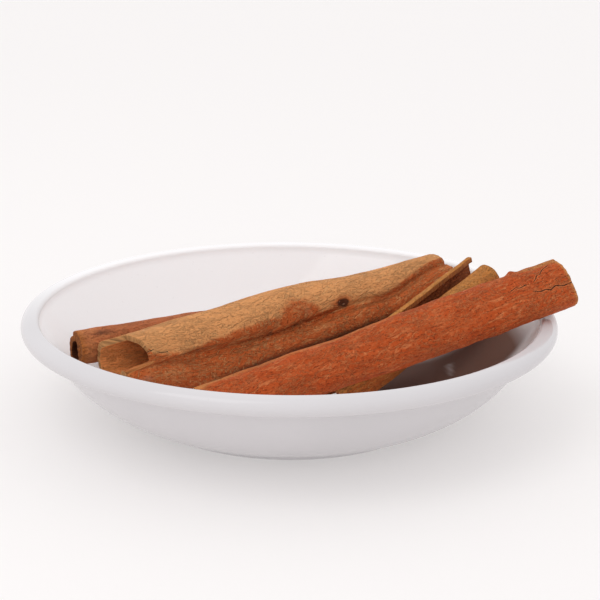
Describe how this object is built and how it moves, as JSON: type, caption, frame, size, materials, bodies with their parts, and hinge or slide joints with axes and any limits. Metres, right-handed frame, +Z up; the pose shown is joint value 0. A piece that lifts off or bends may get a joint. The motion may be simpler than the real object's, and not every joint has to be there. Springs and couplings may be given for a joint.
{
  "type": "cinnamon sticks in a dish",
  "caption": "Long curled bark quills stacked at a slant in a shallow round white dish, one of them resting across its rim.",
  "frame": {"origin": "middle of the underside of the whole, on the surface that the dish stands on", "axes": "+Z up; +X to the right, towards the end of the quill that crosses the rim; +Y to the back"},
  "size_m": [0.1846, 0.18, 0.053],
  "materials": {
    "porcelain": "white glazed porcelain, glossy and slightly uneven",
    "bark_back": "dry red-brown bark, matt, finely fibrous",
    "bark_double": "dry tan bark turning red-brown, matt, finely fibrous, with knots",
    "bark_front": "dry red-brown bark, matt, with pale wavy fibres",
    "bark_open": "dry ochre bark outside, dark brown inside, matt"
  },
  "bodies": {
    "root": {"dish": "porcelain", "quill_back": "bark_back", "quill_double": "bark_double", "quill_front": "bark_front", "quill_open": "bark_open"}
  },
  "joints": []
}
